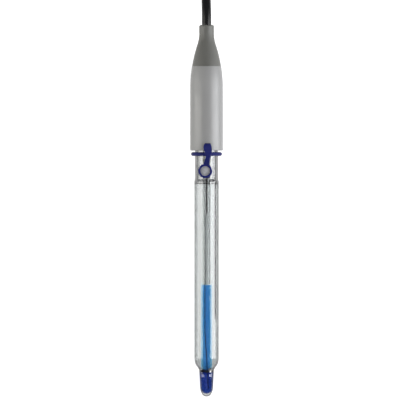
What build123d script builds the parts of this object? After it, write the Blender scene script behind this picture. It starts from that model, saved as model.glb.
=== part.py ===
from build123d import *
import os
from math import asin, atan, cos, degrees, pi, radians, sin, sqrt

# A combination pH electrode, lying on its side with its refill stopper upwards.
# The electrode is drawn upright, its tip at the origin and its front facing -Y, and then laid down.
# Its plug is drawn upright too, from the cable's entry to the mating end, and laid down beside it.
# All lengths are in millimetres.

# Outer glass tube
shaft_radius = 6.0
shaft_wall = 1.0
foot_radius = 3.6
foot_bottom = 12.0
foot_top = foot_bottom + 0.9
shaft_foot = foot_top + 6.4
chamber_floor = foot_top + 1.0
chamber_foot_radius = 2.75
shaft_top = 104.8
neck_radius = 5.65
neck_start = shaft_top + 1.7

# Head cap
cap_radius = 8.0
cap_bottom = neck_start + 13.7
cap_straight = 30.5
cap_straight_top = cap_bottom + cap_straight
cap_top = cap_straight_top + 10.5
cap_wall = 1.6
cap_rim_round = 0.3
cap_lip_height = 2.2
cap_bore_cone = cap_top - 10.2
ogive_radius = 68.0
tube_top = cap_bottom + 25.8

# Bend relief
relief_length = 20.2
relief_top = cap_top + relief_length
relief_step = 0.12
relief_ogive_top = cap_top + 10.8
relief_waist_arc = 17.0
relief_mouth_flare = 0.06
relief_mouth_round = 0.8
spigot_radius = 4.6
spigot_bottom = cap_top - 5.7

# Cable, and its end in the head
cable_radius = 2.3
cable_length = 1000.0
jacket_bottom = spigot_bottom - 1.0
core_radius = 0.75
conductor_radius = 0.45
core_bottom = jacket_bottom - 2.8
conductor_bottom = core_bottom - 1.6
crimp_radius = 0.95
crimp_length = 3.2
crimp_bottom = conductor_bottom - 1.8
screen_radius = 0.5
screen_start = 1.45
screen_bend = 0.6
screen_drop = 0.9
screen_level = jacket_bottom - 2.2

# Inner stem and membrane bulb
stem_radius = 2.0
stem_bore = 1.4
stem_start = foot_bottom + 1.6
stem_top = crimp_bottom - 0.5
bulb_side_radius = 7.2
bulb_tip_radius = 2.6
bulb_tip_arc = 60
bulb_side_arc = 26
bulb_wall = 0.45
bulb_tip_glass = 1.7
bulb_shoulder = 0.3
bulb_ledge = 0.2

# Fillings, by the height of their levels
electrolyte_level = shaft_top - 0.4
buffer_level = 55.0

# Ceramic junction, a slanting pin in the tube's foot
junction_radius = 0.55
junction_height = foot_bottom + 0.85
junction_length = 1.57
junction_turn = 32

# Measuring wire, its glass sheath and its lead
wire_radius = 0.16
wire_offset = -0.6
wire_bend_height = 32.0
wire_bend_radius = 8.0
wire_shoulder = (0.25, 14.0)
wire_tip = (0.6, 3.6)
sheath_radius = 0.65
sheath_bore = 0.35
sheath_tip = wire_bend_height + 1.6
sheath_cone = 2.6
sheath_top = 87.4
lead_radius = 0.5
lead_bottom = sheath_top + 2.2
lead_top = conductor_bottom - 0.2
kink_radius = 0.5

# Reference wire
reference_radius = 0.3
reference_offset = 3.2
reference_bottom = 38.0

# Seals in the head
neck_seal_length = 3.5
stem_seal_length = 5.0
stem_seal_flange = 1.2
stem_seal_flange_radius = 5.4

# Refill stopper: band, strap and eyelet, with the plug in the eyelet
band_height = cap_bottom - 1.7
band_section = 0.96
strap_thickness = 0.9
strap_bend_radius = 1.5
strap_rise_length = 1.85
strap_fold_radius = 1.15
eyelet_offset = -0.65
eyelet_height = band_height - 8.2
eyelet_radius = 3.45
eyelet_bore = 2.4
eyelet_thickness = 1.9
eyelet_round = 0.5
plug_pin_radius = 1.4
plug_pin_tip_radius = 1.25
plug_pin_length = 2.4
plug_dome = 0.35

# Clearances
fit = 0.02
running_fit = 0.05
soft_gap = 0.1

# Cable hank, as an oval of straight runs and half turns, on the floor past the cable's exit
strand_pitch = 2 * cable_radius + 0.1
tie_thickness = 0.5
tie_width = 6.0
hank_fold_radius = 13.9
hank_clearance = 48.3
hank_turns = 4
tail_start = -28.0

# Coaxial plug
nut_radius = 7.25
nut_bore = 4.95
nut_lip = 2.25
nut_length = 15.15
nut_round = 0.5
knurl_count = 30
knurl_depth = 0.3
knurl_inset = 3.15
knurl_length = 7.5
barrel_radius = 4.2
stem_tube_radius = 1.9
stem_tube_bore = 1.0
stem_tube_start = 9.2
collar_start = stem_tube_start + 6.9
collar_length = 4.7
collar_end = collar_start + collar_length
collar_flats = 9.4
nut_start = collar_end + running_fit
ring_start = nut_start + 5.15
ring_thickness = 0.7
ring_radius = 4.75
ring_groove_depth = 0.4
gasket_start = ring_start + 1.0
gasket_length = 1.2
gasket_radius = 4.75
shell_base = ring_start + 2.4
shell_radius = 4.05
shell_bore = 3.35
plug_length = shell_base + 6.8
finger_slot = 0.5
finger_depth = 5.0
insulator_radius = 2.4
insulator_start = collar_start + 1.9
pin_radius = 0.675
pin_barrel_radius = 0.95
pin_barrel_start = insulator_start - 1.5
pin_solder_depth = pin_barrel_start + 3.5
pin_shoulder = shell_base - 1.4
pin_end = shell_base + 5.6
ferrule_radius = 3.2
ferrule_start = stem_tube_start - 2.2
ferrule_length = 9.0
ferrule_lip = 0.5
boot_end = ferrule_start + 6.0
boot_tail_radius = 3.3
boot_radius = 4.3
boot_taper = 9.5
boot_groove = 0.9
boot_groove_depth = 0.5
boot_groove_start = 2.2
boot_groove_count = 3
washer_thickness = 0.6
spring_thickness = 0.3
lug_radius = 1.05
lug_depth = 0.95
lug_turn = 70
lug_entry = 5.2
lug_rise = 0.7
lug_steps = 7

NODES = {}


def node(name, shape):
    """Keep a finished piece under its node's name."""
    NODES[name] = shape
    return shape


def turned(*lines):
    """A solid turned about the Z axis from lines in radius and height that close on themselves."""
    return revolve(Plane.XZ * make_face(Curve() + list(lines)), Axis.Z)


def turned_polygon(*points):
    return turned(Polyline(*points, close=True))


def ring(inner, outer, bottom, top):
    return turned_polygon((inner, bottom), (outer, bottom), (outer, top), (inner, top))


def rod(radius, bottom, top, x=0.0):
    return Pos(x, 0, bottom) * Cylinder(radius, top - bottom, align=(Align.CENTER, Align.CENTER, Align.MIN))


def tube_along(path, radius):
    return sweep((path ^ 0) * Circle(radius), path=path)


def shoulder(top_radius, low_radius, top, low):
    """The S-shaped shoulder of the blown tube, from the shaft down to its foot."""
    middle = (low_radius + 0.56 * (top_radius - low_radius), low + 0.344 * (top - low))
    return Spline((top_radius, top), middle, (low_radius, low), tangents=((0, -1), (-0.35, -1)))


# Outer tube: one blown piece with a neck, a shaft and a foot that is fused on the bulb.
shaft_bore = shaft_radius - shaft_wall
neck_bore = neck_radius - shaft_wall
outer_side = [
    Line((foot_radius, foot_bottom), (foot_radius, foot_top)),
    shoulder(shaft_radius, foot_radius, shaft_foot, foot_top),
    Line((shaft_radius, shaft_foot), (shaft_radius, shaft_top)),
    Spline((shaft_radius, shaft_top), (neck_radius, neck_start), tangents=((0, 1), (0, 1))),
    Line((neck_radius, neck_start), (neck_radius, tube_top)),
]
inner_side = [
    shoulder(shaft_bore, chamber_foot_radius, shaft_foot, chamber_floor),
    Line((shaft_bore, shaft_foot), (shaft_bore, shaft_top)),
    Spline((shaft_bore, shaft_top), (neck_bore, neck_start), tangents=((0, 1), (0, 1))),
    Line((neck_bore, neck_start), (neck_bore, tube_top)),
]
tube_blank = turned(
    *outer_side,
    Line((neck_radius, tube_top), (neck_bore, tube_top)),
    *inner_side,
    Polyline((chamber_foot_radius, chamber_floor), (stem_radius, chamber_floor), (stem_radius, stem_start),
             (foot_radius, foot_bottom)),
)
tube_envelope = turned(
    *outer_side, Polyline((neck_radius, tube_top), (0, tube_top), (0, foot_bottom), (foot_radius, foot_bottom))
)

# The junction pin slants up through the foot's glass, from the foot's side to the chamber's floor.
slant = sqrt(0.5)
junction_outlet = Vector(foot_radius, 0, junction_height)
junction_plane = Plane(
    origin=junction_outlet + Vector(slant, 0, -slant), x_dir=(0, 1, 0), z_dir=(-slant, 0, slant)
)
junction_rod = junction_plane * Cylinder(
    junction_radius, junction_length + 1, align=(Align.CENTER, Align.CENTER, Align.MIN)
)
junction_rod = Rot(Z=junction_turn - 90) * junction_rod
refill_hole = Pos(eyelet_offset, 0, eyelet_height) * Rot(X=90) * Cylinder(
    plug_pin_radius + running_fit, 2 * neck_radius, align=(Align.CENTER, Align.CENTER, Align.MIN)
)
outer_tube = node("outer_tube", tube_blank - junction_rod - refill_hole)
ceramic_junction = node("ceramic_junction", junction_rod & tube_envelope)

# Membrane bulb: a thick dome on a slightly conical side, with a neck for the stem.
bulb_tip = JernArc((0, 0), (1, 0), bulb_tip_radius, bulb_tip_arc)
bulb_side = JernArc(bulb_tip @ 1, bulb_tip % 1, bulb_side_radius, bulb_side_arc)
bulb_belt = bulb_side @ 1
cavity_side = Spline(
    (0, bulb_tip_glass), (bulb_belt.X - bulb_wall, bulb_belt.Y), tangents=((1, 0), (0.05, 1))
)
cavity_shoulder = (foot_radius - bulb_wall - 0.05, foot_bottom - bulb_shoulder)
cavity_neck = (stem_bore, stem_start - bulb_ledge)
cavity = [
    cavity_side,
    Polyline(cavity_side @ 1, cavity_shoulder, cavity_neck, (stem_bore, stem_start)),
]
membrane_bulb = node("membrane_bulb", turned(
    bulb_tip,
    bulb_side,
    Polyline(bulb_belt, (foot_radius, foot_bottom), (stem_radius, stem_start), (stem_bore, stem_start)),
    *cavity,
    Line((0, bulb_tip_glass), (0, 0)),
))
inner_stem = node("inner_stem", ring(stem_bore, stem_radius, stem_start, stem_top))

# Measuring wire, straight in its sheath and slanting below it into the bulb
wire_path = FilletPolyline(
    (wire_offset, 0, sheath_top),
    (wire_offset, 0, wire_bend_height),
    (wire_shoulder[0], 0, wire_shoulder[1]),
    (wire_tip[0], 0, wire_tip[1]),
    radius=wire_bend_radius,
)
kink_path = FilletPolyline(
    (wire_offset, 0, sheath_top),
    (wire_offset, 0, sheath_top + 3 * kink_radius),
    (0, 0, lead_bottom - kink_radius),
    (0, 0, lead_bottom),
    radius=kink_radius,
)
measuring_wire = node(
    "measuring_wire", tube_along(wire_path, wire_radius) + tube_along(kink_path, wire_radius)
)
sheath_blank = turned_polygon(
    (wire_radius, sheath_tip), (2 * wire_radius, sheath_tip), (sheath_radius, sheath_tip + sheath_cone),
    (sheath_radius, sheath_top), (sheath_bore, sheath_top), (sheath_bore, sheath_tip + sheath_cone),
    (wire_radius, sheath_tip + sheath_cone / 2),
)
wire_sheath = node("wire_sheath", Pos(wire_offset, 0, 0) * sheath_blank)
measuring_lead = node("measuring_lead", rod(lead_radius, lead_bottom, lead_top))
reference_wire = node(
    "reference_wire", rod(reference_radius, reference_bottom, lead_top, reference_offset)
)

# Fillings: the blue buffer in the bulb and stem, and the clear electrolyte round the stem
buffer_blank = turned(
    *cavity,
    Polyline((stem_bore, stem_start), (stem_bore, buffer_level), (0, buffer_level), (0, bulb_tip_glass)),
)
sheath_envelope = rod(sheath_radius, sheath_tip + sheath_cone, sheath_top, wire_offset)
inner_buffer = node("inner_buffer", buffer_blank - wire_sheath - sheath_envelope - measuring_wire)
electrolyte_blank = turned(
    *inner_side[:1],
    Polyline((shaft_bore, shaft_foot), (shaft_bore, electrolyte_level), (stem_radius, electrolyte_level),
             (stem_radius, chamber_floor), (chamber_foot_radius, chamber_floor)),
)
reference_electrolyte = node(
    "reference_electrolyte", electrolyte_blank - ceramic_junction - reference_wire
)

# Head cap: a moulded shell, straight and then narrowing in one long arc that the relief goes on with
ogive_centre = cap_radius - ogive_radius
cap_arc = degrees(asin((cap_top - cap_straight_top) / ogive_radius))
cap_bore = cap_radius - cap_wall
cap_curve = CenterArc((ogive_centre, cap_straight_top), ogive_radius, 0, cap_arc)
head_cap = node("head_cap", turned(
    Polyline((neck_radius + soft_gap, cap_bottom), (cap_radius - cap_rim_round, cap_bottom),
             (cap_radius, cap_bottom + cap_rim_round), (cap_radius, cap_straight_top)),
    cap_curve,
    Polyline(cap_curve @ 1, (spigot_radius, cap_top), (spigot_radius, spigot_bottom),
             (cap_bore, cap_bore_cone), (cap_bore, cap_bottom + cap_lip_height),
             (neck_radius + soft_gap, cap_bottom + cap_lip_height), (neck_radius + soft_gap, cap_bottom)),
))

# Bend relief: a soft sleeve that carries on the cap's arc and hollows out to a waist at the cable
relief_radius = ogive_radius - relief_step
relief_foot_turn = degrees(asin((cap_top - cap_straight_top) / relief_radius))
relief_top_turn = degrees(asin((relief_ogive_top - cap_straight_top) / relief_radius))
relief_curve = CenterArc(
    (ogive_centre, cap_straight_top), relief_radius, relief_foot_turn, relief_top_turn - relief_foot_turn
)
waist_curve = JernArc(relief_curve @ 1, relief_curve % 1, relief_waist_arc, -relief_top_turn)
waist = waist_curve @ 1
mouth_side = waist.X + relief_mouth_flare
bend_relief = node("bend_relief", turned(
    relief_curve,
    waist_curve,
    Line(waist, (mouth_side, relief_top - relief_mouth_round)),
    JernArc((mouth_side, relief_top - relief_mouth_round), (0, 1), relief_mouth_round, 90),
    Polyline((mouth_side - relief_mouth_round, relief_top), (cable_radius, relief_top),
             (cable_radius, spigot_bottom), (spigot_radius, spigot_bottom), (spigot_radius, cap_top),
             relief_curve @ 0),
))

# The cable's end in the head: jacket, core and screen, crimped to the two wires
cable_in_head = node("cable_in_head", rod(cable_radius, jacket_bottom, relief_top))
cable_core = node(
    "cable_core",
    rod(core_radius, core_bottom, jacket_bottom) + rod(conductor_radius, conductor_bottom, core_bottom),
)
crimp_top = crimp_bottom + crimp_length
core_crimp = node("core_crimp", ring(lead_radius + fit, crimp_radius, crimp_bottom, crimp_top))
screen_path = FilletPolyline(
    (screen_start, 0, jacket_bottom),
    (screen_start, 0, jacket_bottom - screen_drop),
    (reference_offset, 0, screen_level),
    (reference_offset, 0, conductor_bottom),
    radius=screen_bend,
)
cable_screen = node("cable_screen", tube_along(screen_path, screen_radius))
screen_crimp = node(
    "screen_crimp",
    Pos(reference_offset, 0, 0) * ring(screen_radius + fit, crimp_radius, crimp_bottom, crimp_top),
)

# Seals and potting
neck_seal_bottom = cap_bottom + cap_lip_height
neck_seal_top = neck_seal_bottom + neck_seal_length
neck_seal = node("neck_seal", ring(neck_radius + fit, cap_bore - fit, neck_seal_bottom, neck_seal_top))
stem_seal = node("stem_seal", turned_polygon(
    (stem_radius + fit, tube_top - stem_seal_length), (neck_bore - fit, tube_top - stem_seal_length),
    (neck_bore - fit, tube_top), (stem_seal_flange_radius, tube_top),
    (stem_seal_flange_radius, tube_top + stem_seal_flange), (stem_radius + fit, tube_top + stem_seal_flange),
) - rod(reference_radius + fit, reference_bottom, lead_top, reference_offset))
potting_blank = turned_polygon(
    (0, neck_seal_top), (cap_bore - fit, neck_seal_top), (cap_bore - fit, cap_bore_cone),
    (spigot_radius - fit, spigot_bottom - fit), (0, spigot_bottom - fit),
)
potting_hollows = (
    rod(neck_radius + fit, neck_seal_top, tube_top)
    + rod(stem_seal_flange_radius, tube_top, tube_top + stem_seal_flange)
    + rod(stem_radius + fit, tube_top, crimp_bottom)
    + rod(crimp_radius, crimp_bottom, crimp_top)
    + rod(crimp_radius, crimp_bottom, crimp_top, reference_offset)
    + rod(reference_radius, tube_top, crimp_bottom, reference_offset)
    + rod(core_radius, crimp_top, jacket_bottom)
    + rod(cable_radius, jacket_bottom, spigot_bottom)
)
head_potting = node("head_potting", potting_blank - potting_hollows - cable_screen)

# Refill stopper. Its strap is the side view, a folded ribbon, cut to the front view's outline.
band_ring_radius = neck_radius + band_section + fit
band_front = band_ring_radius + band_section
band = Pos(0, 0, band_height) * Torus(band_ring_radius, band_section)
node("stopper_band", band)

eyelet_back = neck_radius + soft_gap
eyelet_front = eyelet_back + eyelet_thickness
strap_foot = Line((band_ring_radius + 0.37, band_height + 0.1), (band_ring_radius + 1.37, band_height + 0.94))
strap_bend = JernArc(strap_foot @ 1, strap_foot % 1, strap_bend_radius, 45)
strap_rise = Line(strap_bend @ 1, strap_bend @ 1 + (strap_bend % 1) * strap_rise_length)
strap_fold = JernArc(strap_rise @ 1, strap_rise % 1, strap_fold_radius, -170)
strap_end = ((eyelet_back + eyelet_front) / 2 + 0.2, eyelet_height + eyelet_radius - 0.7)
strap_fall = TangentArc(strap_fold @ 1, strap_end, tangent=strap_fold % 1)
strap_line = Curve() + [strap_foot, strap_bend, strap_rise, strap_fold, strap_fall]
strap_outside = (strap_fold @ 1).X
strap_side = Plane.YZ * (Rot(Y=180) * make_face(offset(strap_line, strap_thickness / 2)))
strap_ribbon = extrude(strap_side, eyelet_radius, both=True)
strap_edge_right = Spline((1.83, 5.3), (2.56, 2.6), (2.45, 0.4), (1.63, -2.9), (1.2, -5.6))
strap_edge_left = Spline((-1.75, -5.6), (-0.9, -2.9), (-0.35, -0.8), (-1.15, 1.6), (-0.71, 5.3))
strap_outline = make_face(Curve() + [
    strap_edge_right, Line(strap_edge_right @ 1, strap_edge_left @ 0), strap_edge_left,
    Line(strap_edge_left @ 1, strap_edge_right @ 0),
])
strap_front = extrude(Pos(0, 0, band_height) * (Plane.XZ * strap_outline), strap_outside + 2, dir=(0, -1, 0))
eyelet_axis = Pos(eyelet_offset, 0, eyelet_height) * Rot(X=90)
eyelet_keepout = eyelet_axis * Cylinder(
    eyelet_radius + running_fit, 2 * eyelet_front, align=(Align.CENTER, Align.CENTER, Align.MIN)
)
cap_keepout = rod(cap_radius + soft_gap, cap_bottom - soft_gap, cap_top)
stopper_strap = node("stopper_strap", (strap_ribbon & strap_front) - eyelet_keepout - band - cap_keepout)

eyelet_blank = Pos(0, 0, eyelet_back) * Cylinder(
    eyelet_radius, eyelet_thickness, align=(Align.CENTER, Align.CENTER, Align.MIN)
)
eyelet_blank = fillet(eyelet_blank.edges().filter_by(GeomType.CIRCLE), eyelet_round)
eyelet_blank -= Cylinder(eyelet_bore, 2 * eyelet_front)
node("stopper_eyelet", eyelet_axis * eyelet_blank)
plug_head_radius = eyelet_bore - fit
plug_head_front = eyelet_front - plug_dome
dome_radius = (plug_head_radius ** 2 + plug_dome ** 2) / (2 * plug_dome)
dome_turn = degrees(asin(plug_head_radius / dome_radius))
dome_curve = CenterArc((0, plug_head_front - dome_radius), dome_radius, 90 - dome_turn, dome_turn)
refill_plug = turned(
    Polyline((0, eyelet_back - plug_pin_length), (plug_pin_tip_radius, eyelet_back - plug_pin_length),
             (plug_pin_radius, eyelet_back), (plug_head_radius, eyelet_back), dome_curve @ 0),
    dome_curve,
    Line((0, plug_head_front), (0, eyelet_back - plug_pin_length)),
)
node("refill_plug", eyelet_axis * refill_plug)

# Laid down: the shaft's foot and the cap's rim rest on the floor, so the axis rises a little.
tilt = atan((cap_radius - shaft_radius) / (cap_bottom + cap_rim_round - shaft_foot))
laid = Pos(0, -relief_top / 2 * cos(tilt), shaft_radius * cos(tilt) - shaft_foot * sin(tilt)) * Rot(
    X=degrees(tilt) - 90
)
for name in list(NODES):
    NODES[name] = laid * NODES[name]


def laid_point(x, height):
    return (laid * Pos(x, 0, height)).position


def cord_tube(name, points):
    """A tube along a route: each corner is an arc as large as its two runs allow."""
    points = [Vector(*p) for p in points]
    runs = [b - a for a, b in zip(points, points[1:])]
    radii = []
    for before, after in zip(runs, runs[1:]):
        half_turn = radians(before.get_angle(after)) / 2
        radii.append(0.45 * min(before.length, after.length) / (sin(half_turn) / cos(half_turn)))
    path = FilletPolyline(*points, radius=radii)
    solid = tube_along(path, cable_radius)
    print(name, "radii", [round(r, 1) for r in radii], "length", round(path.length, 1),
          "volume ratio", round(solid.volume / (path.length * pi * cable_radius ** 2), 4))
    return node(name, solid), path.length


# The hank's first lane is in line with the electrode. Its strands lie two beside two.
outer_fold_radius = hank_fold_radius + strand_pitch
low_strand = tie_thickness + cable_radius
high_strand = low_strand + strand_pitch
top_strand = high_strand + strand_pitch * sqrt(0.75)
middle_fold_radius = hank_fold_radius + strand_pitch / 2
top_lane = strand_pitch / 2
lead_exit = laid_point(0, relief_top)
lead_route = [
    lead_exit,
    laid_point(0, relief_top + 6),
    (-0.2, lead_exit.Y + 11.8, 8.1),
    (-0.3, lead_exit.Y + 17.3, 5.6),
    (-0.2, lead_exit.Y + 23.0, 3.6),
    (0, lead_exit.Y + 28.8, low_strand),
    (0, lead_exit.Y + 34.8, low_strand),
]
cable_lead, lead_length = cord_tube("cable_lead", lead_route)
hank_near = lead_exit.Y + hank_clearance
lead_in_length = hank_near - lead_route[-1][1]

# Eight half turns at each end: four strands out, and four back with the next lane's radius.
fold_length = pi * (2 * hank_fold_radius + 2 * outer_fold_radius)
fold_length += pi * (2 * hank_fold_radius + outer_fold_radius + middle_fold_radius)
tail_length = 51.6
hank_run = (
    cable_length - lead_length - lead_in_length - fold_length - tail_length - tail_start
) / (2 * hank_turns + 1)
hank_far = hank_near + hank_run

# The plug lies past the hank, on the floor.
plug_x = -2.6
plug_y = hank_far + 22.0
plug_laid = Pos(plug_x, plug_y, nut_radius) * Rot(X=-90)
tail_route = [
    (top_lane, hank_far + tail_start, top_strand),
    (1.6, hank_far - 20, top_strand + 0.5),
    (-1.7, hank_far - 11.5, top_strand + 0.5),
    (-4.4, hank_far - 3, 10.3),
    (-4.4, hank_far + 5.5, 8.1),
    (plug_x, plug_y - 7.5, nut_radius),
    (plug_x, plug_y, nut_radius),
]
cable_tail, tail_length_now = cord_tube("cable_tail", tail_route)
print("hank run", round(hank_run, 2), "tail", round(tail_length_now, 2), "planned", tail_length)

hank_centre = Pos(outer_fold_radius, (hank_near + hank_far) / 2, 0)
ring_outside = 2 * (outer_fold_radius + cable_radius)
ring_inside = 2 * (hank_fold_radius - cable_radius)
ring_face = SlotCenterToCenter(hank_run, ring_outside, rotation=90)
ring_face -= SlotCenterToCenter(hank_run, ring_inside, rotation=90)
ring_height = strand_pitch + 2 * cable_radius
hank_ring = extrude(ring_face, ring_height)
hank_ring = fillet(hank_ring.faces().filter_by(Axis.Z).edges(), cable_radius - running_fit)
hank_ring = hank_centre * Pos(0, 0, tie_thickness) * hank_ring
top_arc_centre = (outer_fold_radius, hank_near)
top_arc = CenterArc(top_arc_centre, middle_fold_radius, 180, 180)
top_path = Pos(0, 0, top_strand) * (
    Curve() + [Line((top_lane, hank_far + tail_start), (top_lane, hank_near)), top_arc]
)
top_tube = tube_along(top_path, cable_radius)
lead_in = Pos(0, lead_route[-1][1], low_strand) * Rot(X=-90) * Cylinder(
    cable_radius, lead_in_length + 1, align=(Align.CENTER, Align.CENTER, Align.MIN)
)
cable_hank = node("cable_hank", hank_ring + top_tube + lead_in - cable_tail)

# A strap tie round the run on the far side
tie_inside_width = strand_pitch + 2 * cable_radius + 2 * fit
tie_face = RectangleRounded(
    tie_inside_width + 2 * tie_thickness, tie_inside_width + 2 * tie_thickness, cable_radius + tie_thickness
) - RectangleRounded(tie_inside_width, tie_inside_width, cable_radius - running_fit)
tie_centre = Pos(
    outer_fold_radius + middle_fold_radius, (hank_near + hank_far) / 2, tie_thickness + ring_height / 2 + fit
)
hank_tie = node("hank_tie", tie_centre * Rot(X=90) * Pos(0, 0, -tie_width / 2) * extrude(tie_face, tie_width))

# Coaxial plug: boot, crimp ferrule, body with a hexagonal collar and a slotted shell
boot_blank = turned_polygon(
    (cable_radius + fit, 0), (boot_tail_radius, 0), (boot_radius, boot_taper), (boot_radius, boot_end),
    (ferrule_radius + fit, boot_end), (ferrule_radius + fit, ferrule_start), (cable_radius + fit, ferrule_start),
)
for groove in range(boot_groove_count):
    groove_middle = boot_groove_start + 2 * boot_groove * groove
    boot_blank -= ring(
        boot_tail_radius + groove_middle / boot_taper * (boot_radius - boot_tail_radius) - boot_groove_depth,
        2 * boot_radius, groove_middle - boot_groove / 2, groove_middle + boot_groove / 2,
    )
node("plug_boot", boot_blank)
ferrule_end = ferrule_start + ferrule_length
node("plug_ferrule", turned_polygon(
    (cable_radius + 2 * fit, ferrule_start), (ferrule_radius, ferrule_start), (ferrule_radius, ferrule_end),
    (stem_tube_radius + fit, ferrule_end), (stem_tube_radius + fit, ferrule_end - ferrule_lip),
    (cable_radius + 2 * fit, ferrule_end - ferrule_lip),
))
screen_end = ferrule_end - ferrule_lip - fit
node("plug_screen", ring(stem_tube_radius + fit, cable_radius, stem_tube_start, screen_end))
node("cable_in_plug", turned_polygon(
    (0, 0), (cable_radius, 0), (cable_radius, stem_tube_start), (stem_tube_bore - fit, stem_tube_start),
    (stem_tube_bore - fit, pin_barrel_start - fit), (conductor_radius, pin_barrel_start - fit),
    (conductor_radius, pin_solder_depth), (0, pin_solder_depth),
))
body_blank = turned_polygon(
    (stem_tube_bore, stem_tube_start), (stem_tube_radius, stem_tube_start), (stem_tube_radius, collar_start),
    (barrel_radius, collar_start), (barrel_radius, ring_start), (barrel_radius - ring_groove_depth, ring_start),
    (barrel_radius - ring_groove_depth, ring_start + ring_thickness),
    (barrel_radius, ring_start + ring_thickness), (barrel_radius, shell_base - 0.2), (shell_radius, shell_base),
    (shell_radius, plug_length), (shell_bore, plug_length), (shell_bore, shell_base),
    (insulator_radius, shell_base), (insulator_radius, insulator_start), (stem_tube_bore, insulator_start),
)
collar = Pos(0, 0, collar_start) * extrude(
    RegularPolygon(collar_flats / 2, 6, major_radius=False), collar_length
)
collar -= rod(barrel_radius - 0.1, collar_start - 1, collar_end + 1)
plug_body = body_blank + collar
for turn in (0, 90):
    plug_body -= Rot(Z=turn) * Pos(0, 0, plug_length) * Box(
        finger_slot, 3 * shell_radius, 2 * finger_depth
    )
node("plug_body", plug_body)
node("plug_insulator", ring(pin_barrel_radius + fit, insulator_radius - fit, insulator_start, shell_base))
pin_tip = Line((pin_radius, pin_shoulder), (pin_radius, pin_end - pin_radius))
node("plug_centre_pin", turned(
    Polyline((0, pin_solder_depth), (conductor_radius, pin_solder_depth), (conductor_radius, pin_barrel_start),
             (pin_barrel_radius, pin_barrel_start), (pin_barrel_radius, pin_shoulder),
             (pin_radius, pin_shoulder)),
    pin_tip,
    JernArc(pin_tip @ 1, (0, 1), pin_radius, 90),
    Line((0, pin_end), (0, pin_solder_depth)),
))
node("retaining_ring", ring(
    barrel_radius - ring_groove_depth + fit, ring_radius, ring_start + fit, ring_start + ring_thickness - fit
))
node("plug_gasket", ring(barrel_radius + fit, gasket_radius, gasket_start, gasket_start + gasket_length))

# Coupling nut, its thrust washer and the cone spring that presses them back on the collar
nut_end = nut_start + nut_length
lip_end = nut_start + nut_lip
washer_start = lip_end + running_fit
washer_end = washer_start + washer_thickness
bearing_radius = barrel_radius + running_fit
node("thrust_washer", ring(bearing_radius, ring_radius, washer_start, washer_end))
spring_foot = washer_end + running_fit
spring_head = ring_start
node("cone_spring", turned_polygon(
    (bearing_radius, spring_foot), (bearing_radius + spring_thickness, spring_foot),
    (ring_radius, spring_head - spring_thickness), (ring_radius, spring_head),
    (ring_radius - spring_thickness, spring_head), (bearing_radius, spring_foot + spring_thickness),
))
nut_blank = turned_polygon(
    (bearing_radius, nut_start), (nut_radius - nut_round, nut_start), (nut_radius, nut_start + nut_round),
    (nut_radius, nut_end - nut_round), (nut_radius - nut_round, nut_end), (nut_bore, nut_end),
    (nut_bore, lip_end), (bearing_radius, lip_end),
)
knurl_half = radians(180 / knurl_count) * nut_radius * 0.7
for flute in range(knurl_count):
    groove_face = Polygon(
        (nut_radius - knurl_depth, 0), (nut_radius + 0.2, -knurl_half), (nut_radius + 0.2, knurl_half),
        align=None,
    )
    nut_blank -= Rot(Z=360 / knurl_count * (flute + 0.5)) * Pos(0, 0, nut_start + knurl_inset) * extrude(
        groove_face, knurl_length
    )

# Two bayonet tracks: an entry from the rim, a rising turn inside the wall and a window at its end
track_radius = nut_bore + lug_depth
for side in (0, 180):
    entry = Pos(nut_bore, 0, nut_end - lug_entry / 2) * Box(2 * lug_depth, 2 * lug_radius, lug_entry)
    nut_blank -= Rot(Z=side) * entry
    for step in range(lug_steps + 1):
        share = step / lug_steps
        height = nut_end - lug_entry - lug_rise * share + lug_radius
        depth = nut_radius + 1 if step == lug_steps else track_radius
        lug = Pos(0, 0, height - lug_radius) * Rot(Y=90) * Cylinder(
            lug_radius, depth, align=(Align.CENTER, Align.CENTER, Align.MIN)
        )
        nut_blank -= Rot(Z=side + lug_turn * share) * lug
node("coupling_nut", nut_blank)
for name in ("plug_boot", "plug_ferrule", "plug_body", "plug_insulator", "plug_centre_pin", "retaining_ring",
             "plug_gasket", "plug_screen", "cable_in_plug", "thrust_washer", "cone_spring", "coupling_nut"):
    NODES[name] = plug_laid * NODES[name]

os.makedirs("parts", exist_ok=True)
for name, shape in NODES.items():
    solids = shape.solids()
    export_step(solids[0] if len(solids) == 1 else Compound(children=solids), f"parts/{name}.step")
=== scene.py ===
import bmesh
import bpy
from math import atan2, cos, pi, radians, sin, sqrt
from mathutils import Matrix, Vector


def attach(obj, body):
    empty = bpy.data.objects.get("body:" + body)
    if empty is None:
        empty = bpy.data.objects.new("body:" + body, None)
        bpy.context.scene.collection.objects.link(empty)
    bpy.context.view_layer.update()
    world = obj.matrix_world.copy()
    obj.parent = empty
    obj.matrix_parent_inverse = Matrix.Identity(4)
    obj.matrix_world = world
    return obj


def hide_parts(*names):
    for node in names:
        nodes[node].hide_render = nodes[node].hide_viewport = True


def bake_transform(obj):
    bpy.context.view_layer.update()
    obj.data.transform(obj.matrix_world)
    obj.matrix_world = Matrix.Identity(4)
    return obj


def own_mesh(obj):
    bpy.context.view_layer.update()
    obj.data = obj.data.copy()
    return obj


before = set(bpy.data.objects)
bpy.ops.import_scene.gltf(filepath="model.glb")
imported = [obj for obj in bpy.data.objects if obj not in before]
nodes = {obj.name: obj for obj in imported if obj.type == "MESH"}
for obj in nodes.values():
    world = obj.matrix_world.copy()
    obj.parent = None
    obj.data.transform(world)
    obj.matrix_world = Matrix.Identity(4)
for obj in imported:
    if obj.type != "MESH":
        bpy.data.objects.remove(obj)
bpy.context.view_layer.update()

# The cable is one metre of coaxial lead with a glossy black jacket, which comes out of the head's relief.
# The part that the photograph doesn't show is put away as a tied hank of four turns in line with the
# electrode, with the plug at its end. Its route is in millimetres.
cable_radius = 0.0023
relief_top = 181.4
shaft_radius, foot_top = 6.0, 19.3
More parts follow.
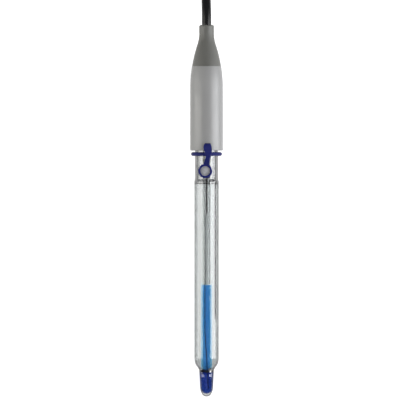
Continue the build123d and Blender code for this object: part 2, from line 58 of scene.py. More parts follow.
rim_radius, rim_height = 8.0, 120.5

# The electrode lies on its shaft's foot and its head's rim, so its axis rises by about one degree
# towards the cable. A place on it is given as on a drawing of the upright electrode: millimetres
# across, in front (towards the stopper) and up from the tip of the bulb.
axis_rise = atan2(rim_radius - shaft_radius, rim_height - foot_top)
tip_height = shaft_radius * cos(axis_rise) - foot_top * sin(axis_rise)
tip = Vector((0.0, -relief_top / 2 * cos(axis_rise), tip_height))
along_axis = Vector((0.0, cos(axis_rise), sin(axis_rise)))
to_front = Vector((0.0, -sin(axis_rise), cos(axis_rise)))


def on_electrode(across, front, height):
    """A place on the electrode, in metres in the scene."""
    return (Vector((across, 0.0, 0.0)) + tip + to_front * front + along_axis * height) / 1000


# The strands lie two by two, a little over a cable's width apart, and the low ones a tie's thickness
# above the bench. As the bundle goes round, it rolls over by a quarter, so that each turn takes the
# next one's lane.
strand = 4.7
low = 2.8
near_y, far_y = 138.982, 197.435
outer_fold = 18.6
inner_fold = outer_fold - strand
middle_fold = (outer_fold + inner_fold) / 2
run = far_y - near_y
fold = pi * middle_fold
lap = 2 * fold + run
left_lanes = ((0, low), (strand, low), (strand, low + strand), (0, low + strand))
lane_angles = (-45, -135, -225)
quarter_turn_over, last_turn_over = (0.64, 0.95), (0.53, 0.72)
small_hump, last_hump = 0.5, 1.6


def eased(start, end, share):
    """How much of a smooth change from start to end is done."""
    part = min(max((share - start) / (end - start), 0.0), 1.0)
    return part * part * (3 - 2 * part)


def strand_place(turn, share):
    """Radius and height of a strand on its way from one left run to the next, as the bundle rolls over."""
    rolled = eased(*last_turn_over, share) * pi / 3
    turned = eased(*quarter_turn_over, share) * pi / 2
    crossing = sin(2 * turned)
    if turn == 3:
        height = low + strand * (1 + sin(rolled)) + last_hump * crossing + small_hump * crossing
        return inner_fold + strand * cos(rolled), height
    angle = radians(lane_angles[turn]) - turned
    reach = strand / sqrt(2)
    return middle_fold + reach * cos(angle), low + strand / 2 + small_hump * crossing + reach * sin(angle)


route = [
    tuple(on_electrode(0, 0, relief_top) * 1000), tuple(on_electrode(0, 0, relief_top + 6.0) * 1000),
    (-0.2, 102.5, 8.1), (-0.3, 108.0, 5.6), (-0.2, 113.7, 3.6), (0, 119.5, low), (0, 125.5, low),
    (0, near_y, low),
]
fold_step = 30
bulge = 1 / cos(radians(fold_step / 2))
for turn, (lane_x, lane_z) in enumerate(left_lanes):
    route += [(lane_x, near_y + part * run, lane_z) for part in (0.25, 0.5, 0.75)]
    for angle in range(180, -1, -fold_step):
        radius, height = strand_place(turn, radians(180 - angle) * middle_fold / lap)
        radius *= bulge if 0 < angle < 180 else 1
        across, onward = radius * cos(radians(angle)), radius * sin(radians(angle))
        route.append((outer_fold + across, far_y + onward, height))
    for part in (0.2, 0.4, 0.6, 0.8):
        radius, height = strand_place(turn, (fold + part * run) / lap)
        route.append((outer_fold + radius, far_y - part * run, height))
    for angle in range(0, 181, fold_step):
        radius, height = strand_place(turn, (fold + run + radians(angle) * middle_fold) / lap)
        radius *= bulge if 0 < angle < 180 else 1
        across, onward = radius * cos(radians(angle)), radius * sin(radians(angle))
        route.append((outer_fold + across, near_y - onward, height))
plug_x, plug_y, plug_z = -2.6, 219.435, 7.25
route += [
    (2.35, 154.0, 11.57), (2.35, far_y - 28, 11.57), (1.6, far_y - 20, 12.07),
    (-1.7, far_y - 11.5, 12.07), (-4.4, far_y - 3, 10.3), (-4.4, far_y + 5.5, 8.1),
    (plug_x, plug_y - 7.5, plug_z), (plug_x, plug_y, plug_z),
]
cable_curve = bpy.data.curves.new("cable", "CURVE")
cable_curve.dimensions = "3D"
cable_curve.bevel_depth = cable_radius
cable_curve.bevel_resolution = 5
cable_curve.resolution_u = 6
cable_line = cable_curve.splines.new("NURBS")
cable_line.points.add(len(route) - 1)
for point, position in zip(cable_line.points, route):
    point.co = (*(value / 1000 for value in position), 1)
cable_line.order_u = 3
cable_line.use_endpoint_u = True


def shaded(name, rough, metallic=0.0, ior=1.5, specular=0.5):
    """A new material and its Principled shader."""
    material = bpy.data.materials.new(name)
    material.use_nodes = True
    shader = material.node_tree.nodes["Principled BSDF"]
    shader.inputs["Roughness"].default_value = rough
    shader.inputs["Metallic"].default_value = metallic
    shader.inputs["IOR"].default_value = ior
    shader.inputs["Specular IOR Level"].default_value = specular
    return material, shader


def new_group(name, inputs, outputs):
    """An empty shader group with named sockets, each given as a name, a kind and a starting value."""
    group = bpy.data.node_groups.new(name, "ShaderNodeTree")
    for label, kind, value in inputs:
        socket = group.interface.new_socket(label, in_out="INPUT", socket_type="NodeSocket" + kind)
        socket.default_value = value
    for label, kind in outputs:
        group.interface.new_socket(label, in_out="OUTPUT", socket_type="NodeSocket" + kind)
    return group, group.nodes.new("NodeGroupInput"), group.nodes.new("NodeGroupOutput")


def wire_up(tree, pairs):
    """Link each pair of sockets, given as an output and the input that it feeds."""
    for start, end in pairs:
        tree.links.new(start, end)


# Moulded and extruded plastics share one surface: a slow drift of tone, and the fine grain that the
# mould or the die leaves. The drift changes the colour and the gloss, and the grain is only relief.
moulded, moulded_in, moulded_out = new_group(
    "moulded_surface",
    [("Colour", "Color", (0.5, 0.5, 0.5, 1)), ("Drift", "Float", 0.1), ("Drift Size", "Float", 90.0),
     ("Grain Size", "Float", 2500.0), ("Roughness", "Float", 0.4), ("Gloss Drift", "Float", 0.1),
     ("Relief", "Float", 0.1), ("Stretch", "Vector", (1.0, 1.0, 1.0))],
    [("Colour", "Color"), ("Roughness", "Float"), ("Normal", "Vector")],
)
place = moulded.nodes.new("ShaderNodeTexCoord")
stretch = moulded.nodes.new("ShaderNodeVectorMath")
stretch.operation = "MULTIPLY"
drift = moulded.nodes.new("ShaderNodeTexNoise")
drift.inputs["Detail"].default_value = 3.0
grain = moulded.nodes.new("ShaderNodeTexNoise")
grain.inputs["Detail"].default_value = 2.0
tone = moulded.nodes.new("ShaderNodeMapRange")
tone.inputs["From Min"].default_value = 0.3
tone.inputs["From Max"].default_value = 0.7
tone.inputs["To Min"].default_value = -1.0
amount = moulded.nodes.new("ShaderNodeMath")
amount.operation = "MULTIPLY_ADD"
amount.inputs[2].default_value = 1.0
tinted = moulded.nodes.new("ShaderNodeVectorMath")
tinted.operation = "SCALE"
gloss = moulded.nodes.new("ShaderNodeMath")
gloss.operation = "MULTIPLY_ADD"
relief = moulded.nodes.new("ShaderNodeBump")
relief.inputs["Distance"].default_value = 0.00005
wire_up(moulded, [
    (place.outputs["Object"], stretch.inputs[0]),
    (moulded_in.outputs["Stretch"], stretch.inputs[1]),
    (stretch.outputs[0], drift.inputs["Vector"]),
    (moulded_in.outputs["Drift Size"], drift.inputs["Scale"]),
    (stretch.outputs[0], grain.inputs["Vector"]),
    (moulded_in.outputs["Grain Size"], grain.inputs["Scale"]),
    (drift.outputs["Fac"], tone.inputs["Value"]),
    (tone.outputs["Result"], amount.inputs[0]),
    (moulded_in.outputs["Drift"], amount.inputs[1]),
    (moulded_in.outputs["Colour"], tinted.inputs[0]),
    (amount.outputs[0], tinted.inputs["Scale"]),
    (tinted.outputs[0], moulded_out.inputs["Colour"]),
    (tone.outputs["Result"], gloss.inputs[0]),
    (moulded_in.outputs["Gloss Drift"], gloss.inputs[1]),
    (moulded_in.outputs["Roughness"], gloss.inputs[2]),
    (gloss.outputs[0], moulded_out.inputs["Roughness"]),
    (grain.outputs["Fac"], relief.inputs["Height"]),
    (moulded_in.outputs["Relief"], relief.inputs["Strength"]),
    (relief.outputs["Normal"], moulded_out.inputs["Normal"]),
])


def surface_from(group, material, shader, values):
    """Place a surface group in a material, with its own values, and feed the shader from it."""
    surface = material.node_tree.nodes.new("ShaderNodeGroup")
    surface.node_tree = group
    for name, value in values.items():
        surface.inputs[name.replace("_", " ")].default_value = value
    wire_up(material.node_tree, [
        (surface.outputs["Colour"], shader.inputs["Base Color"]),
        (surface.outputs["Roughness"], shader.inputs["Roughness"]),
        (surface.outputs["Normal"], shader.inputs["Normal"]),
    ])


def moulded_finish(name, colour, rough, specular=0.5, **values):
    """A moulded or extruded plastic or rubber."""
    material, shader = shaded(name, rough, specular=specular)
    surface_from(moulded, material, shader, dict(Colour=(*colour, 1), Roughness=rough, **values))
    return material


def dress(material, *names):
    """Give CAD nodes their finish."""
    for name in names:
        nodes[name].data.materials.clear()
        nodes[name].data.materials.append(material)


jacket = moulded_finish(
    "cable_jacket", (0.007, 0.007, 0.0075), 0.24, specular=0.16, Drift=0.25, Drift_Size=60.0,
    Grain_Size=900.0, Gloss_Drift=0.05, Relief=0.15,
)
cable_curve.materials.append(jacket)
cable = bpy.data.objects.new("cable", cable_curve)
bpy.context.scene.collection.objects.link(cable)
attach(cable, "electrode")
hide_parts("cable_lead", "cable_hank", "cable_tail")
dress(jacket, "cable_in_head")

# The bench is a plain white sheet. It shows as evenly white as a light box to the camera, and in the
# metal and the glass, but it casts no light of its own on anything dull.
bpy.ops.mesh.primitive_plane_add(size=4.0, location=(0, 0, -0.0002))
bench = bpy.context.object
bench.name = "bench"
bench_white, bench_shader = shaded("bench_white", 0.8, specular=0.0)
bench_shader.inputs["Base Color"].default_value = (0.55, 0.55, 0.55, 1)
bench_shader.inputs["Emission Color"].default_value = (1, 1, 1, 1)
bench_nodes = bench_white.node_tree.nodes
rays = bench_nodes.new("ShaderNodeLightPath")
seen = bench_nodes.new("ShaderNodeMath")
seen.operation = "MAXIMUM"
mirrored = bench_nodes.new("ShaderNodeMath")
mirrored.operation = "MAXIMUM"
glow = bench_nodes.new("ShaderNodeMath")
glow.operation = "MULTIPLY"
glow.inputs[1].default_value = 0.8
wire_up(bench_white.node_tree, [
    (rays.outputs["Is Camera Ray"], seen.inputs[0]),
    (rays.outputs["Is Glossy Ray"], seen.inputs[1]),
    (seen.outputs[0], mirrored.inputs[0]),
    (rays.outputs["Is Transmission Ray"], mirrored.inputs[1]),
    (mirrored.outputs[0], glow.inputs[0]),
    (glow.outputs[0], bench_shader.inputs["Emission Strength"]),
])
bench.data.materials.append(bench_white)


# A large soft light stands low at each side of the electrode, and the right one is the brighter. A
# weaker one from above, and an even grey room, fill the front.
def soft_light(name, position, size, power, colour=(1, 1, 1)):
    """A rectangular light that faces the middle of the electrode."""
    light = bpy.data.lights.new(name, "AREA")
    light.shape = "RECTANGLE"
    light.size, light.size_y = size
    light.energy = power
    light.color = colour
    lamp = bpy.data.objects.new(name, light)
    lamp.location = position
    aim = Vector((0, 0, 0.01)) - Vector(position)
    lamp.rotation_euler = aim.to_track_quat("-Z", "Y").to_euler()
    bpy.context.scene.collection.objects.link(lamp)


side_size = (0.36, 1.2)
soft_light("left_light", (-0.75, 0.0, 0.22), side_size, 7.0, (1.0, 0.99, 0.95))
soft_light("right_light", (0.75, 0.0, 0.22), side_size, 12.3, (0.97, 0.98, 1.0))
soft_light("top_light", (0.0, -0.2, 1.4), (1.0, 1.0), 1.0)
room = bpy.data.worlds.new("studio")
room.use_nodes = True
room.node_tree.nodes["Background"].inputs["Color"].default_value = (0.55, 0.55, 0.56, 1)
room.node_tree.nodes["Background"].inputs["Strength"].default_value = 0.45
bpy.context.scene.world = room
bpy.context.scene.view_settings.view_transform = "Standard"

# The camera looks straight down on the electrode from one and a half metres, through a long lens. Its
# view has the photograph's scale of 2.05 pixels a millimetre, at the height of the electrode's axis.
picture_width = 416
pixels_per_metre = 2050.0
camera_height, axis_height = 1.5, 0.008
view_middle = (0.0007, 0.00147)
sensor = 36.0
lens = bpy.data.cameras.new("camera")
lens.sensor_width = sensor
lens.lens = sensor * (camera_height - axis_height) / (picture_width / pixels_per_metre)
camera = bpy.data.objects.new("camera", lens)
camera.location = (*view_middle, camera_height)
bpy.context.scene.collection.objects.link(camera)
bpy.context.scene.camera = camera

# The head is a hollow cap moulded in light grey plastic, and filled with black resin. The softer
# relief behind it is moulded in a darker grey with a little olive, and is glued into the cap's end.
cap_grey = moulded_finish(
    "cap_grey", (0.258, 0.258, 0.256), 0.38, Drift=0.03, Drift_Size=60.0, Grain_Size=2600.0, Relief=0.2,
)
dress(cap_grey, "head_cap")
relief_grey = moulded_finish(
    "relief_grey", (0.112, 0.112, 0.102), 0.48, Drift=0.05, Drift_Size=80.0, Grain_Size=2200.0,
    Relief=0.3,
)
dress(relief_grey, "bend_relief")
potting_black = moulded_finish(
    "potting_resin", (0.04, 0.04, 0.04), 0.3, Drift=0.2, Drift_Size=300.0, Grain_Size=1500.0, Relief=0.2,
)
dress(potting_black, "head_potting")


# The shaft is drawn borosilicate tube with a thinner neck that goes up into the head, and its foot is
# blown in to a narrow opening, where the stem and the bulb are fused to it. Light bends at each face by
# what lies on both sides of it: glass in air where the face is dry, glass in the filling where it is wet.
crease = radians(50)


def turned_piece(name, outline, materials, segments=72):
    """A solid turned about the electrode's axis. The outline is a closed list of (radius, height, slot)."""
    verts, rings = [], []
    for radius, height, slot in outline:
        if radius < 1e-6:
            rings.append([len(verts)] * segments)
            verts.append(on_electrode(0, 0, height))
        else:
            rings.append(list(range(len(verts), len(verts) + segments)))
            for step in range(segments):
                angle = 2 * pi * step / segments
                verts.append(on_electrode(radius * cos(angle), radius * sin(angle), height))
    faces, slots = [], []
    for lower, upper, point in zip(rings, rings[1:] + rings[:1], outline):
        for step in range(segments):
            after = (step + 1) % segments
            corners = list(dict.fromkeys((lower[step], lower[after], upper[after], upper[step])))
            if len(corners) > 2:
                faces.append(corners[::-1])
                slots.append(point[2])
    mesh = bpy.data.meshes.new(name)
    mesh.from_pydata([tuple(vert) for vert in verts], [], faces)
    for material in materials:
        mesh.materials.append(material)
    for polygon, slot in zip(mesh.polygons, slots):
        polygon.material_index = slot
        polygon.use_smooth = True
    mesh.set_sharp_from_angle(angle=crease)
    piece = bpy.data.objects.new(name, mesh)
    bpy.context.scene.collection.objects.link(piece)
    return piece


def bent(start, start_way, end, end_way, steps, slot):
    """Points of a smooth bend between two places on the outline, without the last one."""
    start, end = Vector(start), Vector(end)
    reach = (end - start).length
    start_way = Vector(start_way).normalized() * reach
    end_way = Vector(end_way).normalized() * reach
    points = []
    for step in range(steps):
        t = step / steps
        point = (
            start * (2 * t ** 3 - 3 * t ** 2 + 1) + start_way * (t ** 3 - 2 * t ** 2 + t)
            + end * (3 * t ** 2 - 2 * t ** 3) + end_way * (t ** 3 - t ** 2)
        )
        points.append((point.x, point.y, slot))
    return points


def clear_finish(name, tint, index):
    """Clear glass or liquid, with the index that light meets at its face."""
    material, shader = shaded(name, 0.0, ior=index)
    shader.inputs["Base Color"].default_value = (*tint, 1)
    shader.inputs["Transmission Weight"].default_value = 1.0
    return material


def painted_outline_shade_finish(name, index, shade_tones):
    """Clear glass with painted shade: its colour darkens towards its outline, as its face turns away."""
    material, shader = shaded(name, 0.0, ior=index)
    shader.inputs["Transmission Weight"].default_value = 1.0
    # The colour is painted shade from a ramp on Layer Weight, darkest at the outline.
    facing = material.node_tree.nodes.new("ShaderNodeLayerWeight")
    facing.inputs["Blend"].default_value = 0.5
    outline_shade = material.node_tree.nodes.new("ShaderNodeValToRGB")
    stops = outline_shade.color_ramp.elements
    while len(stops) < len(shade_tones):
        stops.new(0.5)
    for stop, (position, tone) in zip(stops, shade_tones):
        stop.position = position
        stop.color = (tone * 0.985, tone, tone * 1.005, 1)
    wire_up(material.node_tree, [
        (facing.outputs["Facing"], outline_shade.inputs["Fac"]),
        (outline_shade.outputs["Color"], shader.inputs["Base Color"]),
    ])
    return material


glass_index, liquid_index = 1.47, 1.34
# The glass in air carries this painted shade towards its outline.
glass_outline_shade = ((0.0, 0.63), (0.16, 0.45), (0.38, 0.33), (0.57, 0.05))
glass_in_air = painted_outline_shade_finish("glass_in_air", glass_index, glass_outline_shade)
glass_in_filling = clear_finish("glass_in_filling", (0.97, 0.98, 0.975), glass_index / liquid_index)
DRY, WET = 0, 1
tube_wall = 1.0
bore_radius = shaft_radius - tube_wall
neck_radius = 5.65
neck_bore = neck_radius - tube_wall
shaft_top, neck_bottom, neck_top = 104.8, 106.5, 146.0
filling_level = 104.4
stem_radius = 2.0
lip_radius, lip_top = 3.6, 12.9
floor_radius, floor_height = 2.75, 13.9
seam_bottom, seam_top = 12.0, 13.6
hole_height, hole_across, hole_radius = 110.3, -0.65, 1.45
beside_hole = 1.7
neck_heights = (neck_bottom, hole_height - beside_hole, hole_height + beside_hole, neck_top)
shaft_rings = 20
ring_gap = (shaft_top - foot_top) / shaft_rings
highest_wet_ring = filling_level - 0.4
upright, flare, lip = Vector((0, 1)), Vector((0.75, 1)), Vector((0.35, 1))
flare_across, flare_up = 0.56, 0.344


def middle_of_foot(start, end):
    """The place where the foot's side turns from its flare towards the straight shaft."""
    return start[0] + flare_across * (end[0] - start[0]), start[1] + flare_up * (end[1] - start[1])


foot_outside = middle_of_foot((lip_radius, lip_top), (shaft_radius, foot_top))
foot_inside = middle_of_foot((floor_radius, floor_height), (bore_radius, foot_top))
tube_outline = (
    [(lip_radius, seam_bottom, DRY)]
    + bent((lip_radius, lip_top), lip, foot_outside, flare, 6, DRY)
    + bent(foot_outside, flare, (shaft_radius, foot_top), upright, 10, DRY)
    + [(shaft_radius, foot_top + step * ring_gap, DRY) for step in range(shaft_rings)]
    + bent((shaft_radius, shaft_top), upright, (neck_radius, neck_bottom), upright, 8, DRY)
    + [(neck_radius, height, DRY) for height in neck_heights]
    + [(neck_bore, height, DRY) for height in neck_heights[::-1]]
    + bent((neck_bore, neck_bottom), -upright, (bore_radius, shaft_top), -upright, 8, DRY)[1:]
    + [(bore_radius, shaft_top, DRY), (bore_radius, filling_level, WET)]
    + [(bore_radius, highest_wet_ring - step * ring_gap, WET) for step in range(shaft_rings)]
    + bent((bore_radius, foot_top), -upright, foot_inside, -flare, 10, WET)
    + bent(foot_inside, -flare, (floor_radius, floor_height), -lip, 6, WET)
    + [(floor_radius, floor_height, WET), (stem_radius, floor_height, DRY), (stem_radius, seam_top, DRY)]
)
tube = turned_piece("glass_tube", tube_outline, [glass_in_air, glass_in_filling])

# The filling hole is drilled through the front of the neck, where the plug goes in.
drill_ends, drill_sides = (3.6, 6.6), 40
turns = [2 * pi * step / drill_sides for step in range(drill_sides)]
circle = [(hole_across + hole_radius * cos(turn), hole_height + hole_radius * sin(turn)) for turn in turns]
bore = bmesh.new()
inner_end, outer_end = [
    [bore.verts.new(on_electrode(across, front, height)) for across, height in circle] for front in drill_ends
]
bore.faces.new(inner_end)
bore.faces.new(outer_end[::-1])
for step in range(drill_sides):
    after = (step + 1) % drill_sides
    bore.faces.new((inner_end[after], inner_end[step], outer_end[step], outer_end[after]))
bmesh.ops.recalc_face_normals(bore, faces=bore.faces)
bore_mesh = bpy.data.meshes.new("hole")
bore.to_mesh(bore_mesh)
bore.free()
drill = bpy.data.objects.new("hole", bore_mesh)
bpy.context.scene.collection.objects.link(drill)
drilled = tube.modifiers.new("drilled", "BOOLEAN")
drilled.operation = "DIFFERENCE"
drilled.solver = "EXACT"
drilled.object = drill
whole_tube = tube.data
tube.data = bpy.data.meshes.new_from_object(tube.evaluated_get(bpy.context.evaluated_depsgraph_get()))
tube.modifiers.clear()
bpy.data.objects.remove(drill)
bpy.data.meshes.remove(whole_tube)
tube.data.set_sharp_from_angle(angle=crease)
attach(tube, "electrode")
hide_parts("outer_tube")

# The stem inside is a narrower tube of the same glass, which the bulb is blown on. Its blue filling stands
# half way up the shaft, and the stem's outer face is tinted blue as far as the level, as painted light of the
# filling carried in the wall.
PAINTED_BLUE = 2
blue_level = 55.0
stem_bore, stem_top = 1.4, 147.8
# The blue tint of the stem's outer face is painted blue light.
stem_painted_blue_light = clear_finish("stem_painted_blue_light", (0.26, 0.67, 1.0), glass_index / liquid_index)
stem_outside = (
    (seam_top, PAINTED_BLUE), (40.0, PAINTED_BLUE), (blue_level - 0.3, WET), (70.0, WET), (filling_level, DRY), (stem_top, DRY),
)
stem_inside = ((stem_top, DRY), (100.0, DRY), (blue_level, WET), (30.0, WET), (seam_top, DRY))
stem_outline = [(stem_radius, height, slot) for height, slot in stem_outside]
stem_outline += [(stem_bore, height, slot) for height, slot in stem_inside]
stem = turned_piece("glass_stem", stem_outline, [glass_in_air, glass_in_filling, stem_painted_blue_light], 48)
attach(stem, "electrode")
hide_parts("inner_stem")


# The bulb is a bead of pH glass, blown out at the stem's end and fused to the shaft's foot. It is
# thick at its tip, where the glass gathers, and thin at its sides.
def arc_points(centre, radius, start, end, steps, slot):
    """Points of an arc on the outline, in degrees from straight down, without the last one."""
    turns = [radians(start + (end - start) * step / steps) for step in range(steps)]
    return [(centre[0] + radius * sin(turn), centre[1] - radius * cos(turn), slot) for turn in turns]


tip_radius, side_radius, side_centre = 2.6, 7.2, (-3.983, 4.9)
bulb_side = ((3.199, 4.398), (3.33, 6.9), (3.47, 9.5), (lip_radius, seam_bottom), (stem_radius, seam_top))
cavity_floor, cavity_top = 1.7, 13.4
low_cavity, middle_cavity, high_cavity = (2.749, 4.398), (2.93, 8.0), (3.1, 11.7)
bulb_outline = (
    arc_points((0, tip_radius), tip_radius, 0, 60, 10, DRY)
    + arc_points(side_centre, side_radius, 60, 86, 6, DRY)
    + [(*place, DRY) for place in bulb_side]
    + [(stem_bore, seam_top, WET), (stem_bore, cavity_top, WET), (*high_cavity, WET), (*middle_cavity, WET)]
    + bent(low_cavity, (-0.05, -1), (0, cavity_floor), (-1, 0), 10, WET)
    + [(0, cavity_floor, WET)]
)
bulb = turned_piece("glass_bulb", bulb_outline, [glass_in_air, glass_in_filling], 64)
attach(bulb, "electrode")
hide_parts("membrane_bulb")

# The outer filling is a clear salt solution in the shaft, and its level climbs a little up the glass. Its
# grey tint is painted shade, which darkens the filled part of the shaft.
# The glass round it has bent the light already, so its own surface bends it only at the level. Light
# crosses many faces on its way through, so its paths may be long.
bpy.context.scene.cycles.max_bounces = 32
bpy.context.scene.cycles.transmission_bounces = 32
AT_GLASS, AT_LEVEL = 0, 1
skin = 0.03
# The grey tint of the filling is painted shade.
filling_shade_tint = (0.885, 0.90, 0.90)
outer_filling = clear_finish("outer_filling", filling_shade_tint, 1.0)
outer_level = clear_finish("outer_filling_level", filling_shade_tint, liquid_index)
outer_bottom = (floor_radius - skin, floor_height + skin)
outer_foot = (foot_inside[0] - skin, foot_inside[1])
outer_side, outer_middle = bore_radius - skin, 60.0
outer_meniscus = ((4.6, 0.45), (4.1, 0.6), (2.8, 0.6), (2.3, 0.45))
outer_outline = (
    [(stem_radius + skin, floor_height + skin, AT_GLASS), (*outer_bottom, AT_GLASS)]
    + bent(outer_bottom, lip, outer_foot, flare, 6, AT_GLASS)[1:]
    + bent(outer_foot, flare, (outer_side, foot_top), upright, 10, AT_GLASS)
    + [(outer_side, foot_top, AT_GLASS), (outer_side, outer_middle, AT_GLASS)]
    + [(outer_side, filling_level, AT_LEVEL)]
    + [(radius, filling_level - drop, AT_LEVEL) for radius, drop in outer_meniscus]
    + [(stem_radius + skin, filling_level, AT_GLASS), (stem_radius + skin, outer_middle, AT_GLASS)]
)
outer_liquid = turned_piece("outer_filling", outer_outline, [outer_filling, outer_level])
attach(outer_liquid, "electrode")
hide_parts("reference_electrolyte")


# The inner filling is a buffer solution dyed blue, in the bulb and the lower stem. Its dye takes up
# light by depth, so the wider bulb looks nearly navy. The sheath in the stem is a thin glass tube.
def dyed_finish(name, tint):
    """A liquid with a blue dye, which bends no light at its own surface."""
    material = clear_finish(name, tint, 1.0)
    dye = material.node_tree.nodes.new("ShaderNodeVolumeAbsorption")
    dye.inputs["Color"].default_value = (0.0, 0.61, 0.93, 1)
    dye.inputs["Density"].default_value = 750.0
    wire_up(material.node_tree, [
        (dye.outputs["Volume"], material.node_tree.nodes["Material Output"].inputs["Volume"]),
    ])
    return material


IN_STEM, IN_BULB = 0, 1
blue_filling = dyed_finish("blue_filling", (0.98, 0.99, 1.0))
blue_in_bulb = dyed_finish("blue_filling_in_bulb", (0.24, 0.16, 0.38))
blue_tip = (0, cavity_floor + skin)
blue_low = (low_cavity[0] - skin, low_cavity[1])
blue_high = (high_cavity[0] - skin, high_cavity[1] - skin)
blue_meniscus = ((1.1, 0.5), (0.6, 0.75), (0, 0.8))
blue_outline = (
    [(*blue_tip, IN_BULB)]
    + bent(blue_tip, (1, 0), blue_low, (0.05, 1), 10, IN_BULB)[1:]
    + [(*blue_low, IN_BULB), (middle_cavity[0] - skin, middle_cavity[1], IN_BULB), (*blue_high, IN_BULB)]
    + [(stem_bore - skin, height, IN_STEM) for height in (cavity_top, 30.0, blue_level)]
    + [(radius, blue_level - drop, IN_STEM) for radius, drop in blue_meniscus]
)
blue_liquid = turned_piece("blue_filling", blue_outline, [blue_filling, blue_in_bulb], 48)
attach(blue_liquid, "electrode")
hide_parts("inner_buffer")
dress(glass_in_filling, "wire_sheath")

# The stopper is one silicone moulding in dark blue: a band round the neck, a strap and an eyelet. The band
# grips the neck, and the eyelet holds the hard grey plug.
stopper_blue = moulded_finish(
    "stopper_blue", (0.012, 0.016, 0.112), 0.48, specular=0.14, Drift=0.12, Drift_Size=300.0,
    Grain_Size=4000.0, Relief=0.3,
)
stopper_mesh = bpy.data.meshes.new("stopper")
moulding = bmesh.new()
for part_name in ("stopper_band", "stopper_strap", "stopper_eyelet"):
    moulding.from_mesh(nodes[part_name].data)
moulding.to_mesh(stopper_mesh)
moulding.free()
stopper = bpy.data.objects.new("stopper", stopper_mesh)
bpy.context.scene.collection.objects.link(stopper)
fuse = stopper.modifiers.new("fuse", "REMESH")
fuse.mode = "VOXEL"
fuse.voxel_size = 0.00016
ease = stopper.modifiers.new("ease", "SMOOTH")
ease.factor = 0.5
ease.iterations = 4
evaluated = stopper.evaluated_get(bpy.context.evaluated_depsgraph_get())
fused_mesh = bpy.data.meshes.new_from_object(evaluated)
stopper.modifiers.clear()
stopper.data = fused_mesh
fused_mesh.materials.clear()
fused_mesh.materials.append(stopper_blue)
for polygon in fused_mesh.polygons:
    polygon.use_smooth = True
    polygon.material_index = 0
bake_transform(stopper)
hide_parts("stopper_band", "stopper_strap", "stopper_eyelet")
plug_grey = moulded_finish(
    "plug_grey", (0.28, 0.28, 0.30), 0.5, Drift=0.35, Drift_Size=900.0, Grain_Size=5000.0, Relief=0.6,
)
dress(plug_grey, "refill_plug")

# The measuring lead is a pair of tinned copper strands, twisted together. It goes up the dry part of
# the stem, from the dark wire in the sheath to its crimp in the head.
lead_bottom, lead_top = 89.6, 149.9
strand_radius, twist, steps_per_turn = 0.24, 1.7, 10
off_middle = 1.03 * strand_radius
lead_curve = bpy.data.curves.new("measuring_lead_pair", "CURVE")
lead_curve.dimensions = "3D"
lead_curve.bevel_depth = strand_radius / 1000
lead_curve.bevel_resolution = 2
lead_curve.resolution_u = 2
lead_steps = int((lead_top - lead_bottom) / twist * steps_per_turn)
for side in (0, pi):
    strand_line = lead_curve.splines.new("NURBS")
    strand_line.points.add(lead_steps)
    for step, point in enumerate(strand_line.points):
        turn = side + 2 * pi * step / steps_per_turn
        height = lead_bottom + (lead_top - lead_bottom) * step / lead_steps
        point.co = (*on_electrode(off_middle * cos(turn), off_middle * sin(turn), height), 1)
    strand_line.order_u = 3
    strand_line.use_endpoint_u = True
lead_pair = bpy.data.objects.new("measuring_lead_pair", lead_curve)
bpy.context.scene.collection.objects.link(lead_pair)

# Drawn, turned and plated metal shares one surface: a tarnish that comes in patches, and fine marks
# along the way that the metal was drawn or turned.
metal, metal_in, metal_out = new_group(
    "metal_surface",
    [("Bright", "Color", (0.6, 0.6, 0.6, 1)), ("Dull", "Color", (0.3, 0.3, 0.3, 1)),
     ("Patch Size", "Float", 300.0), ("Mark Size", "Float", 3000.0), ("Stretch", "Vector", (1, 1, 1)),
     ("Roughness", "Float", 0.3), ("Relief", "Float", 0.1)],
    [("Colour", "Color"), ("Roughness", "Float"), ("Normal", "Vector")],
)
spot = metal.nodes.new("ShaderNodeTexCoord")
drawn_out = metal.nodes.new("ShaderNodeVectorMath")
drawn_out.operation = "MULTIPLY"
patches = metal.nodes.new("ShaderNodeTexNoise")
patches.inputs["Detail"].default_value = 4.0
marks = metal.nodes.new("ShaderNodeTexNoise")
marks.inputs["Detail"].default_value = 2.0
spread = metal.nodes.new("ShaderNodeMapRange")
spread.inputs["From Min"].default_value = 0.35
spread.inputs["From Max"].default_value = 0.65
tarnish = metal.nodes.new("ShaderNodeMix")
tarnish.data_type = "RGBA"
dulled = metal.nodes.new("ShaderNodeMath")
dulled.operation = "MULTIPLY_ADD"
dulled.inputs[1].default_value = 0.15
scored = metal.nodes.new("ShaderNodeBump")
scored.inputs["Distance"].default_value = 0.00003
wire_up(metal, [
    (spot.outputs["Object"], drawn_out.inputs[0]),
    (metal_in.outputs["Stretch"], drawn_out.inputs[1]),
    (spot.outputs["Object"], patches.inputs["Vector"]),
    (metal_in.outputs["Patch Size"], patches.inputs["Scale"]),
    (drawn_out.outputs[0], marks.inputs["Vector"]),
    (metal_in.outputs["Mark Size"], marks.inputs["Scale"]),
    (patches.outputs["Fac"], spread.inputs["Value"]),
    (spread.outputs["Result"], tarnish.inputs["Factor"]),
    (metal_in.outputs["Bright"], tarnish.inputs["A"]),
    (metal_in.outputs["Dull"], tarnish.inputs["B"]),
    (tarnish.outputs["Result"], metal_out.inputs["Colour"]),
    (spread.outputs["Result"], dulled.inputs[0]),
    (metal_in.outputs["Roughness"], dulled.inputs[2]),
    (dulled.outputs[0], metal_out.inputs["Roughness"]),
    (marks.outputs["Fac"], scored.inputs["Height"]),
    (metal_in.outputs["Relief"], scored.inputs["Strength"]),
    (scored.outputs["Normal"], metal_out.inputs["Normal"]),
])


def metal_finish(name, bright, dull, rough, **values):
    """A drawn, turned or plated metal."""
    material, shader = shaded(name, rough, metallic=1.0)
    colours = dict(Bright=(*bright, 1), Dull=(*dull, 1))
    surface_from(metal, material, shader, dict(Roughness=rough, **colours, **values))
    return material


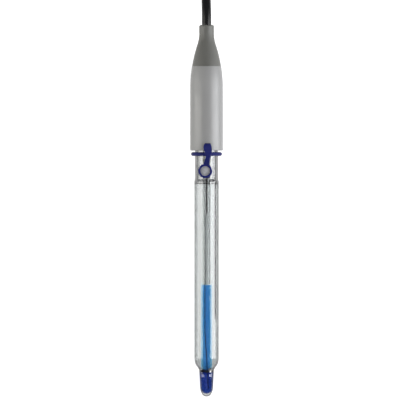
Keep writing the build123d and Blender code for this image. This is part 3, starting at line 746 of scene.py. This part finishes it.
along_wire = (1, 0.05, 1)
lead_tinned = metal_finish(
    "lead_tinned", (0.32, 0.30, 0.28), (0.14, 0.12, 0.11), 0.35, Patch_Size=400.0, Mark_Size=6000.0,
    Stretch=along_wire,
)
lead_curve.materials.append(lead_tinned)
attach(lead_pair, "electrode")
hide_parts("measuring_lead")
dark_wire = metal_finish(
    "dark_wire", (0.05, 0.05, 0.06), (0.015, 0.015, 0.02), 0.35, Patch_Size=700.0, Mark_Size=6000.0,
    Stretch=along_wire,
)
dress(dark_wire, "measuring_wire")

# The reference wire is silver, dulled by its coat of silver chloride. It hangs in the outer filling,
# and its lower end comes near the ceramic junction, a porous white pin in the tube's foot.
silver = metal_finish(
    "silver_chloride", (0.20, 0.18, 0.20), (0.07, 0.06, 0.075), 0.5, Patch_Size=500.0, Mark_Size=5000.0,
    Stretch=along_wire, Relief=0.4,
)
dress(silver, "reference_wire")
ceramic = moulded_finish(
    "ceramic", (0.88, 0.87, 0.83), 0.75, Drift=0.05, Drift_Size=1500.0, Grain_Size=9000.0, Relief=0.8,
)
dress(ceramic, "ceramic_junction")

# In the head the cable's copper screen and core end in two tinned sleeves, which are crimped on. A
# black rubber seal closes the neck and a red one holds the stem, and all of it is cast in.
copper = metal_finish(
    "copper", (0.72, 0.36, 0.20), (0.42, 0.19, 0.10), 0.3, Patch_Size=400.0, Stretch=along_wire,
)
dress(copper, "cable_core", "cable_screen", "plug_screen")
tinned = metal_finish(
    "tinned_sleeve", (0.60, 0.60, 0.58), (0.42, 0.42, 0.40), 0.3, Patch_Size=300.0, Relief=0.3,
)
dress(tinned, "core_crimp", "screen_crimp")
seal_black = moulded_finish(
    "seal_black", (0.022, 0.022, 0.022), 0.6, Drift=0.3, Grain_Size=4000.0, Relief=0.4,
)
dress(seal_black, "neck_seal")
seal_red = moulded_finish("seal_red", (0.42, 0.06, 0.035), 0.5, Drift=0.15, Drift_Size=400.0, Relief=0.3)
dress(seal_red, "stem_seal", "plug_gasket")

# The plug is turned in brass and plated with nickel, and its gilt pin stands in a white insulator. The
# coupling nut turns on the body, where a bronze ring in the body's groove keeps it from coming off.
nickel = metal_finish(
    "nickel_plate", (0.50, 0.485, 0.455), (0.42, 0.40, 0.37), 0.22, Patch_Size=120.0, Mark_Size=5000.0,
    Stretch=(0.05, 1, 0.05), Relief=0.03,
)
dress(nickel, "plug_ferrule", "plug_body", "thrust_washer", "coupling_nut")
bronze = metal_finish("spring_bronze", (0.55, 0.38, 0.19), (0.34, 0.22, 0.10), 0.28, Patch_Size=500.0)
dress(bronze, "retaining_ring")
gilt = metal_finish("gilt", (0.86, 0.64, 0.28), (0.74, 0.52, 0.21), 0.16, Patch_Size=500.0)
dress(gilt, "plug_centre_pin")
white_plastic = moulded_finish(
    "insulator_white", (0.82, 0.82, 0.79), 0.42, Drift=0.03, Drift_Size=200.0, Grain_Size=3000.0,
)
dress(white_plastic, "plug_insulator", "cable_in_plug")

# The cone spring is pressed from the same bronze. It stands between the nut's washer and the ring, and pushes
# the nut back on the body's collar.
spring = bpy.data.objects.new("cone_spring_pressed", nodes["cone_spring"].data.copy())
bpy.context.scene.collection.objects.link(spring)
spring.data.materials.clear()
spring.data.materials.append(bronze)
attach(spring, "electrode")
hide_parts("cone_spring")
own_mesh(spring)

# The boot is a black rubber sleeve, pushed over the plug's ferrule and the end of the cable. The tie
# is a narrow woven strap, pulled tight round the hank's strands. Both are on the cable, as the plug is.
boot_black = moulded_finish(
    "boot_black", (0.018, 0.018, 0.019), 0.5, Drift=0.25, Drift_Size=150.0, Grain_Size=2500.0, Relief=0.5,
)
dress(boot_black, "plug_boot")
woven = moulded_finish(
    "woven_strap", (0.02, 0.02, 0.021), 0.8, Drift=0.5, Drift_Size=1800.0, Grain_Size=5000.0, Relief=1.0,
    Stretch=(1, 0.2, 1),
)
dress(woven, "hank_tie")
